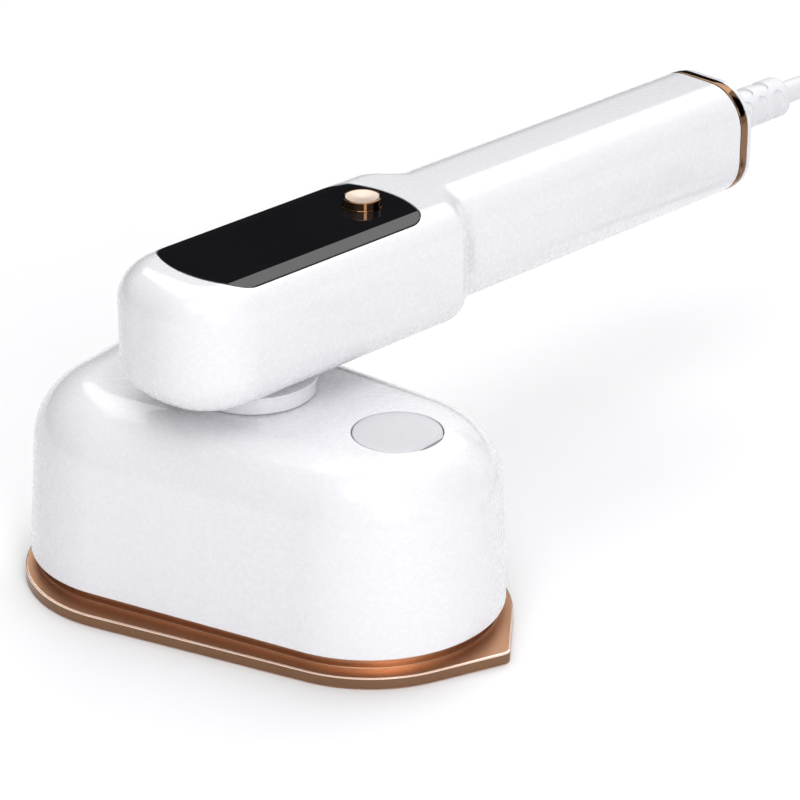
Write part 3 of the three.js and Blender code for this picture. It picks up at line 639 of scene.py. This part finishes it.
def make_tie():
    """A hook-and-loop strap round the coil's turns."""
    inner, outer, base, top = TIE["inner"], TIE["outer"], TIE["base"], TIE["top"]
    middle_r, middle_z = (inner + outer) / 2, (base + top) / 2
    half_r, half_z = (outer - inner) / 2, (top - base) / 2
    half, edge = TIE["half_width"], 0.25
    stations = ((-half, edge), (edge - half, 0), (half - edge, 0), (half, edge))
    rings = []
    for across, thin in stations:
        inside = rounded_box(half_r + thin, half_z + thin, 3)
        rings.append([(middle_r + r, across, middle_z + z) for r, z in inside])
    for across, thin in reversed(stations):
        outside = rounded_box(half_r + TIE["thick"] - thin, half_z + TIE["thick"] - thin, 3.5)
        rings.append([(middle_r + r, across, middle_z + z) for r, z in outside])
    strap = loft("coil_strap", rings, closed=True)
    spot = Matrix.Translation(Vector((*COIL["centre"], 0)) * MM)
    turn = HANDLE_TURN @ spot @ Matrix.Rotation(math.radians(TIE["angle"]), 4, "Z")
    return finish_piece(strap, "handle", "dark_plastic", "coil_tie", turn=turn)


mains_cord = make_cord()
plug_pieces = make_plug()
tie = make_tie()

# ---------------------------------------------------------------- steam head


def make_soleplate():
    """The pressing plate: a bevelled flange, a ledge, a step under the housing, and the steam holes."""
    bevel, flange_top = SOLE["bevel"], SOLE["thick"]
    rings = [(0.25, 0), (0, 0.25), (0, flange_top - bevel), (bevel * 0.3, flange_top - bevel * 0.3),
             (bevel, flange_top)]
    plate = loft("pressing_plate", [[(x, y, z) for x, y in sole_outline(inset)] for inset, z in rings])
    inset, top, edge = SOLE["ledge_inset"], SOLE["ledge_top"], 0.15
    ledge_rings = [(inset, flange_top - bevel), (inset, top - edge), (inset + edge, top)]
    ledge = loft("ledge", [[(x, y, z) for x, y in head_outline(inset)] for inset, z in ledge_rings])
    step = prism("step", head_outline(SOLE["step_inset"]), flange_top, SOLE["step_top"])
    combine(plate, "UNION", ledge, step)
    cut(plate, *steam_holes())
    finish_piece(plate, "head", "rose_gold", "soleplate", crease=30)
    # The flange's upright sides get painted shade, a darker copy of the rose gold.
    refinish(plate, "rose_gold_side_painted_shade",
             lambda spot, normal: abs(normal.z) < 0.3 and spot.z < flange_top - bevel / 2)
    # The flange's bevel gets a painted highlight, a paler copy of the rose gold.
    refinish(plate, "rose_gold_bevel_painted_highlight",
             lambda spot, normal: 0.3 <= normal.z < 0.97 and 1 < spot.z < flange_top)


def steam_holes():
    """Cutters for two rows of steam holes and one at the nose, each countersunk from below."""
    r, first_x, pitch = STEAM_HOLES["r"], STEAM_HOLES["first_x"], STEAM_HOLES["pitch"]
    profile = [(0, -1), (2.4, -1), (2.0, 0), (r, 0.5), (r, 8), (0, 8)]
    spots = [(STEAM_HOLES["nose_x"], 0)]
    for i in range(STEAM_HOLES["per_row"]):
        spots += [(first_x + pitch * i, side * STEAM_HOLES["row_y"]) for side in (-1, 1)]
    return [turned("hole", profile, 24, x, y) for x, y in spots]


def seat_profile(r, floor, rim):
    """A round pocket with a softened rim, as a profile to cut with."""
    return [(0, floor), (r, floor), (r, HEAD["top"] - rim), (r + rim * 0.3, HEAD["top"] - rim * 0.3),
            (r + rim, HEAD["top"]), (r + rim, HEAD["top"] + 4), (0, HEAD["top"] + 4)]


def make_head_shell():
    """The white housing: hollow, with the filler cap's seat and mouth, and the bore for the swivel."""
    shell = head_form("steam_head_shell", 0, HEAD["bottom"], 24)
    cut(shell, head_form("inside", HEAD["wall"], HEAD["bottom"] - 1))
    cup = rod("cup", CAP["r"] + HEAD["wall"], CAP["cup_bottom"], HEAD["top"] - 1, CAP["x"], 0, 72)
    combine(shell, "UNION", cup)
    floor = HEAD["top"] - CAP["thick"] - GAP
    seat = turned("seat", seat_profile(CAP["r"] + GAP, floor, CAP["seat_rim"]), 120, CAP["x"])
    mouth = rod("mouth", CAP["mouth_r"], 45, 60, CAP["x"], 0, 60)
    bore_r = NECK["shaft_r"] + GAP
    bore = turned("bore", [(0, 40), (bore_r, 40), (bore_r, 70), (0, 70)], 72)
    cut(shell, seat, mouth, bore)
    finish_piece(shell, "head", "white_shell", "head_housing", crease=30)


def make_filler_cap():
    """A dished disc with a straight finger notch at the nose side, a gate mark, and its plug."""
    top, under = HEAD["top"], HEAD["top"] - CAP["thick"]
    r = CAP["r"]
    profile = [(0, under), (r - 0.2, under), (r, under + 0.2), (r, top - 0.5), (r - 0.15, top - 0.15),
               (r - 0.5, top)]
    for i in range(1, 13):
        share = i / 12
        profile.append(((r - 0.9) * (1 - share), top - CAP["dish"] * smooth(1.35 * share)))
    disc = turned("filler_lid", profile, 120)
    plug = [(0, CAP["stem_bottom"]), (5.6, CAP["stem_bottom"]), (CAP["stem_r"], CAP["stem_bottom"] + 0.6),
            (CAP["stem_r"], under + 0.5), (0, under + 0.5)]
    combine(disc, "UNION", turned("plug", plug, 60))
    gate_r, gate_top = 0.42, top - 0.28
    gate = [(0, top - 1), (gate_r, top - 1), (gate_r, gate_top - 0.08), (gate_r - 0.12, gate_top),
            (0, gate_top)]
    combine(disc, "UNION", turned("gate", gate, 20))
    notch = loft("notch", [
        [(CAP["notch"] + lean, -20, z), (30, -20, z), (30, 20, z), (CAP["notch"] + lean, 20, z)]
        for z, lean in ((top - CAP["notch_depth"], 0.5), (top - 0.75, 0.5), (top + 0.75, -1.7))
    ])
    notch.data.transform(Matrix.Rotation(math.radians(CAP["turn"]), 4, "Z"))
    cut(disc, notch)
    disc.data.transform(Matrix.Translation((CAP["x"] * MM, 0, 0)))
    # The lid is the shell's white plastic: satin, and set darker as painted shade.
    finish_piece(disc, "stopper", "white_shell", "filler_cap", crease=30, finish="lid_white_painted_shade")
    # The notch's floor and wall get painted shade, a darker copy of the lid's white.
    notch_start = CAP["x"] + CAP["notch"] - 0.5
    refinish(disc, "lid_recess_painted_shade", lambda spot, normal: spot.x > notch_start and spot.z < top - 0.3)


# ---------------------------------------------------------------- handle


def make_neck():
    """The collar between head and handle, with a lip at its top, on the swivel's hollow shaft."""
    bottom, top = HEAD["top"] + GAP, HANDLE["pod_bottom"] - GAP
    r, lip, shaft, bore = NECK["r"], NECK["lip_r"], NECK["shaft_r"], NECK["bore_r"]
    shaft_bottom, shaft_top = NECK["shaft_bottom"], NECK["shaft_top"]
    profile = [
        (bore, shaft_bottom), (shaft - 0.4, shaft_bottom), (shaft, shaft_bottom + 0.4), (shaft, bottom),
        (r - 0.3, bottom), (r, bottom + 0.3), (r, top - 1.1), (r + 0.1, top - 0.85), (lip - 0.1, top - 0.65),
        (lip, top - 0.5), (lip, top), (shaft, top), (shaft, shaft_top), (bore, shaft_top),
    ]
    neck = turned("swivel_collar", profile, 144)
    finish_piece(neck, "handle", "white_shell", "swivel_neck", crease=30, turn=HANDLE_TURN)


def panel_bar(name, drop, past, level):
    """A bar from a level to the panel's face, lowered by drop: flat, with a sloping band along each side."""
    crease, half = LENS["crease"], LENS["half"] + past
    slope = LENS["edge_drop"] / (LENS["half"] - crease)
    face = HANDLE["top"] - drop
    side = face - slope * (half - crease)
    across = [(-half, side), (-crease, face), (crease, face), (half, side), (half, level), (-half, level)]
    ends = (LENS["front"] - past - 2, LENS["rear"] + past + 2)
    return loft(name, [[(s, t, z) for t, z in across] for s in ends])


def panel_form(name, grow, drop, level):
    """The part of that bar inside the panel's outline, grown by grow."""
    form = prism(name, lens_outline(grow), 86, 104)
    return combine(form, "INTERSECT", panel_bar("bar", drop, 1, level))


def button_hole():
    return rod("button_hole", BUTTON["r"] + GAP, 88, 110, BUTTON["s"], 0, 60)


def make_handle_shells():
    """The upper shell with its pocket for the panel, and the cover that closes it from below."""
    past_end = HANDLE["end"] + 5
    below, split = 55, HANDLE["cover_top"]
    upper = handle_form("handle_shell", 0, HANDLE["end"], edge=0.3)
    cut(upper, handle_form("inside", HANDLE["wall"], past_end))
    cover = upper.copy()
    cover.data = upper.data.copy()
    cover.name = "underside_cover"
    bpy.context.scene.collection.objects.link(cover)
    pocket = panel_form("pocket", GAP, LENS["thick"] + GAP, 110)
    window = box("window", DISPLAY["front"], DISPLAY["rear"], -DISPLAY["half"], DISPLAY["half"], 90, 110)
    cut(upper, prism("opening", handle_plan(HANDLE["cover_inset"] - GAP, past_end), below, split))
    cut(upper, pocket, window, button_hole())
    finish_piece(upper, "handle", "white_shell", "handle_upper_shell", crease=30, turn=HANDLE_TURN)
    plan = handle_plan(HANDLE["cover_inset"], past_end)
    combine(cover, "INTERSECT", prism("cover_plan", plan, below, split))
    cut(cover, rod("neck_hole", NECK["shaft_r"] + GAP, 50, 80, 0, 0, 72))
    recess_r, hole_r, shelf = SCREW["recess_r"], SCREW["hole_r"], HANDLE["grip_bottom"] + 1.1
    recess = [(0, below), (recess_r, below), (recess_r, shelf), (hole_r, shelf), (hole_r, 80), (0, 80)]
    for s, t in SCREW_PLACES:
        cut(cover, turned("recess", recess, 36, s, t))
    finish_piece(cover, "handle", "white_shell", "handle_lower_cover", crease=30, turn=HANDLE_TURN)


def make_panel():
    """The glossy black panel, hollowed from below to its thickness."""
    lens = panel_form("display_window", 0, 0, 85)
    cut(lens, panel_bar("under", LENS["thick"], 3, 80))
    cut(lens, button_hole())
    bevel_edges(lens, 0.16, 40)
    finish_piece(lens, "handle", "black_lens", "display_lens", crease=11, turn=HANDLE_TURN)


def make_button():
    """The round knob with its dished face, and the thin bezel ring round it."""
    flange_r, flange = BUTTON["flange_r"], HANDLE["top"] - HANDLE["wall"] - 0.2
    flange_under = flange - BUTTON["flange_thick"]
    r, top = BUTTON["r"], BUTTON["top"]
    profile = [(0, flange_under), (flange_r, flange_under), (flange_r, flange), (r, flange), (r, top - 0.35),
               (r - 0.08, top - 0.12), (r - 0.3, top), (r - 0.55, top - 0.06)]
    for i in range(1, 9):
        share = i / 8
        profile.append(((r - 0.7) * (1 - share), top - 0.12 - 0.3 * smooth(share)))
    to_button = Matrix.Translation((BUTTON["s"] * MM, 0, 0))
    knob = turned("power_knob", profile, 96)
    knob.data.transform(to_button)
    finish_piece(knob, "button", "rose_gold", "power_button", crease=30, turn=HANDLE_TURN,
                 finish="polished_gold")
    axis = HANDLE_TURN @ Vector((BUTTON["s"], 0, 0))
    refinish(knob, "knob_face",
             lambda spot, normal: spot.z > top - 0.7 and (spot - axis).xy.length < r - 0.5)
    outer, inner, low = BUTTON["bezel_r"], r + 0.12, HANDLE["top"] + 0.05
    profile = [(inner, low), (outer, low), (outer, low + 0.25), (outer - 0.08, low + 0.33),
               (inner + 0.05, low + 0.33), (inner, low + 0.28)]
    bezel = turned("knob_bezel", profile, 96)
    bezel.data.transform(to_button)
    finish_piece(bezel, "handle", "rose_gold", "button_bezel", crease=40, turn=HANDLE_TURN,
                 finish="polished_gold")


def make_end_ring():
    """The rose-gold band round the grip's end."""
    start, end, thick, edge = RING["start"], RING["end"], RING["thick"], 0.3
    stations = [(start, edge), (start + edge, 0), (end - edge, 0), (end, edge), (end, thick),
                (start, thick)]
    rings = [handle_section(HANDLE["end"], inset, at=s) for s, inset in stations]
    ring = loft("trim_ring", rings, closed=True)
    finish_piece(ring, "handle", "rose_gold", "end_ring", crease=50, turn=HANDLE_TURN,
                 finish="polished_gold")


def make_end_cap():
    """The white cover behind the band, with a rounded edge and the hole for the strain relief."""
    start, end = RING["cap_start"], RING["cap_end"]
    stations = [(start, 0.3), (end - 1.0, 0.3), (end - 0.6, 0.38), (end - 0.25, 0.65), (end - 0.05, 1.05),
                (end, 1.5)]
    cap = loft("end_cover", [handle_section(HANDLE["end"], inset, at=s) for s, inset in stations])
    hole = along_handle(rod("hole", RELIEF["r"] + GAP, 170, 190, 0, 0, 60))
    cut(cap, hole)
    finish_piece(cap, "handle", "white_shell", "end_cap", crease=30, turn=HANDLE_TURN)


def along_handle(thing):
    """Lays a piece made about the vertical axis along the cord's exit."""
    lift = Matrix.Translation((0, 0, HANDLE["axis_z"] * MM))
    thing.data.transform(lift @ Matrix.Rotation(math.pi / 2, 4, "Y"))
    return thing


def relief_slot(name, s, middle):
    """A cutter for a curved slot round one side of the strain relief, with round ends."""
    half_turn, half = RELIEF["half_turn"], RELIEF["slot"] / 2
    low, high = RELIEF["r"] - RELIEF["depth"], RELIEF["r"] + 3
    rings = []
    steps = 30
    for i in range(steps + 1):
        angle = mix(-half_turn, half_turn, i / steps)
        room = math.radians(half_turn - abs(angle)) * RELIEF["r"]
        width = half if room >= half else math.sqrt(max(0.02, half ** 2 - (half - room) ** 2))
        a = math.radians(middle + angle)
        rings.append([(s + x, r * math.cos(a), r * math.sin(a) + HANDLE["axis_z"])
                      for x, r in ((-width, low), (width, low), (width, high), (-width, high))])
    return loft(name, rings)


def make_strain_relief():
    """The slotted sleeve round the cord's exit, with a flange behind the end cover and a rounded tip."""
    end, r, edge = RELIEF["end"], RELIEF["r"], 1.6
    start, flange_r, flange_end = RELIEF["start"], RELIEF["flange_r"], RELIEF["flange_end"]
    profile = [(0, start), (flange_r, start), (flange_r, flange_end), (r, flange_end)]
    profile += [(r, mix(177.5, end - edge - 0.4, i / 8)) for i in range(9)]
    profile += [(r - edge + reach, end - edge + height) for reach, height in arc(0, 0, edge, 0, 90, 6)]
    profile.append((0, end))
    relief = along_handle(turned("cord_relief", profile, 96))
    slots = []
    for i in range(RELIEF["slots"]):
        near, far = RELIEF["first"] + RELIEF["pitch"] * i, RELIEF["first"] + RELIEF["pitch"] * (i - 0.5)
        slots.append(relief_slot("slot", near, 180 + RELIEF["lean"]))
        slots.append(relief_slot("slot", far, RELIEF["lean"]))
    cut(relief, *slots)
    bevel_edges(relief, 0.22, 50)
    finish_piece(relief, "handle", "cord_sheath", "strain_relief", crease=40, turn=HANDLE_TURN)


def make_screws():
    """Flat cross-recessed heads in the lower cover, each with its shank."""
    r, shank, top = SCREW["head_r"], SCREW["shank_r"], SCREW["top"]
    long, wide = SCREW["arm_half"], SCREW["arm_width"]
    head_top = HANDLE["grip_bottom"] + 0.9
    for i, (s, t) in enumerate(SCREW_PLACES):
        low = max(HANDLE["grip_bottom"] - 0.6, handle_at(s)[1] + 0.1)
        profile = [(0, low), (r - 0.3, low), (r, low + 0.25), (r, head_top), (shank, head_top), (shank, top),
                   (0, top)]
        screw = turned(f"case_screw_{i + 1}", profile, 36, s, t)
        for half_s, half_t in ((long, wide), (wide, long)):
            cut(screw, box("arm", s - half_s, s + half_s, t - half_t, t + half_t, low - 1, low + 0.8))
        finish_piece(screw, "handle", "steel", f"handle_screw_{i + 1}", turn=HANDLE_TURN)


make_soleplate()
make_head_shell()
make_filler_cap()
make_neck()
make_handle_shells()
make_panel()
make_button()
make_end_ring()
make_end_cap()
make_strain_relief()
make_screws()

# ---------------------------------------------------------------- CAD nodes that stay

for row in frame["record"]["subparts"]:
    node = frame["nodes"][row["node"]]
    if not node.hide_render:
        node.data.materials.clear()
        node.data.materials.append(MATERIALS[row["material_slot"]])

# ---------------------------------------------------------------- floor and light

# Lights are in metres and watts. The panel's sloping band mirrors the overhead light and its flat part the
# dark zone behind. The polished band at the grip's end mirrors the dark zone beside.
LIGHTS = {
    "overhead": dict(spot=(-0.40, 0.80, 1.384), aim=(0, 0, 0.05), size=(1.7, 1.7), power=16.5),
    "key": dict(spot=(1.24, -0.90, 0.8), aim=(0, 0.03, 0.06), size=(0.46, 0.62), power=8.6),
    "top": dict(spot=(0.36, -0.54, 1.35), aim=(0, 0, 0.05), size=(0.8, 0.8), power=6),
}
DARK_ZONES = {
    "behind": dict(middle=(-0.56, 0.80, 0.18), inner=24, outer=48, floor=0.03),
    "beside": dict(middle=(0.68, 0.53, 0.5), inner=19, outer=27, floor=0.0),
    "left": dict(middle=(-0.9, -0.35, 0.15), inner=25, outer=80, floor=0.3),
}
STUDIO_COLOR = (0.62, 0.62, 0.643)
FLOOR_HALF = 6.0


def make_floor():
    size = FLOOR_HALF
    mesh = bpy.data.meshes.new("floor")
    corners = [(-size, -size, 0), (size, -size, 0), (size, size, 0), (-size, size, 0)]
    mesh.from_pydata(corners, [], [(0, 1, 2, 3)])
    floor = new_object("floor", mesh)
    floor.location.z = -0.0002
    material = surface("pale_floor", (0.93, 0.93, 0.93), 0.6, tint=0.004, mottle=8, grain=300, relief=0.01)
    floor.data.materials.append(material)


def area_light(name, spot, aim, size, power):
    data = bpy.data.lights.new(name, "AREA")
    data.shape = "RECTANGLE"
    data.size, data.size_y = size
    data.energy = power
    lamp = bpy.data.objects.new(name, data)
    lamp.location = spot
    lamp.rotation_euler = (Vector(aim) - Vector(spot)).to_track_quat("-Z", "Y").to_euler()
    bpy.context.scene.collection.objects.link(lamp)


def dark_zone(nodes, links, where, middle, inner, outer, floor):
    """A factor that falls to floor inside a cone round middle; inner and outer are its angles in degrees."""
    toward = nodes.new("ShaderNodeVectorMath")
    toward.operation = "DOT_PRODUCT"
    toward.inputs[1].default_value = Vector(middle).normalized()
    links.new(where, toward.inputs[0])
    fall = nodes.new("ShaderNodeMapRange")
    fall.interpolation_type = "SMOOTHSTEP"
    fall.inputs["From Min"].default_value = math.cos(math.radians(outer))
    fall.inputs["From Max"].default_value = math.cos(math.radians(inner))
    fall.inputs["To Min"].default_value = 1.0
    fall.inputs["To Max"].default_value = floor
    links.new(toward.outputs["Value"], fall.inputs["Value"])
    return fall.outputs["Result"]


def product(nodes, links, a, b):
    node = nodes.new("ShaderNodeMath")
    node.operation = "MULTIPLY"
    links.new(a, node.inputs[0])
    links.new(b, node.inputs[1])
    return node.outputs["Value"]


def make_world():
    """A soft studio round the object, dark in the zones, and white where the camera looks past the floor."""
    world = bpy.data.worlds.new("studio")
    bpy.context.scene.world = world
    world.use_nodes = True
    nodes, links = world.node_tree.nodes, world.node_tree.links
    background = nodes["Background"]
    where = nodes.new("ShaderNodeTexCoord").outputs["Generated"]
    behind, beside, left = (dark_zone(nodes, links, where, **zone) for zone in DARK_ZONES.values())
    factor = product(nodes, links, product(nodes, links, behind, beside), left)
    tinted = nodes.new("ShaderNodeMix")
    tinted.data_type = "RGBA"
    tinted.inputs["A"].default_value = (0, 0, 0, 1)
    tinted.inputs["B"].default_value = (*STUDIO_COLOR, 1)
    links.new(factor, tinted.inputs["Factor"])
    rays = nodes.new("ShaderNodeLightPath").outputs["Is Camera Ray"]
    plain = nodes.new("ShaderNodeMix")
    plain.data_type = "RGBA"
    plain.inputs["B"].default_value = (1, 1, 1, 1)
    links.new(rays, plain.inputs["Factor"])
    links.new(tinted.outputs["Result"], plain.inputs["A"])
    links.new(plain.outputs["Result"], background.inputs["Color"])
    background.inputs["Strength"].default_value = 1.0


make_floor()
make_world()
for light_name, light in LIGHTS.items():
    area_light(light_name, **light)
bpy.context.scene.view_settings.view_transform = "Standard"
bpy.context.scene.view_settings.look = "None"
bpy.context.scene.view_settings.exposure = 0
bpy.context.scene.view_settings.gamma = 1
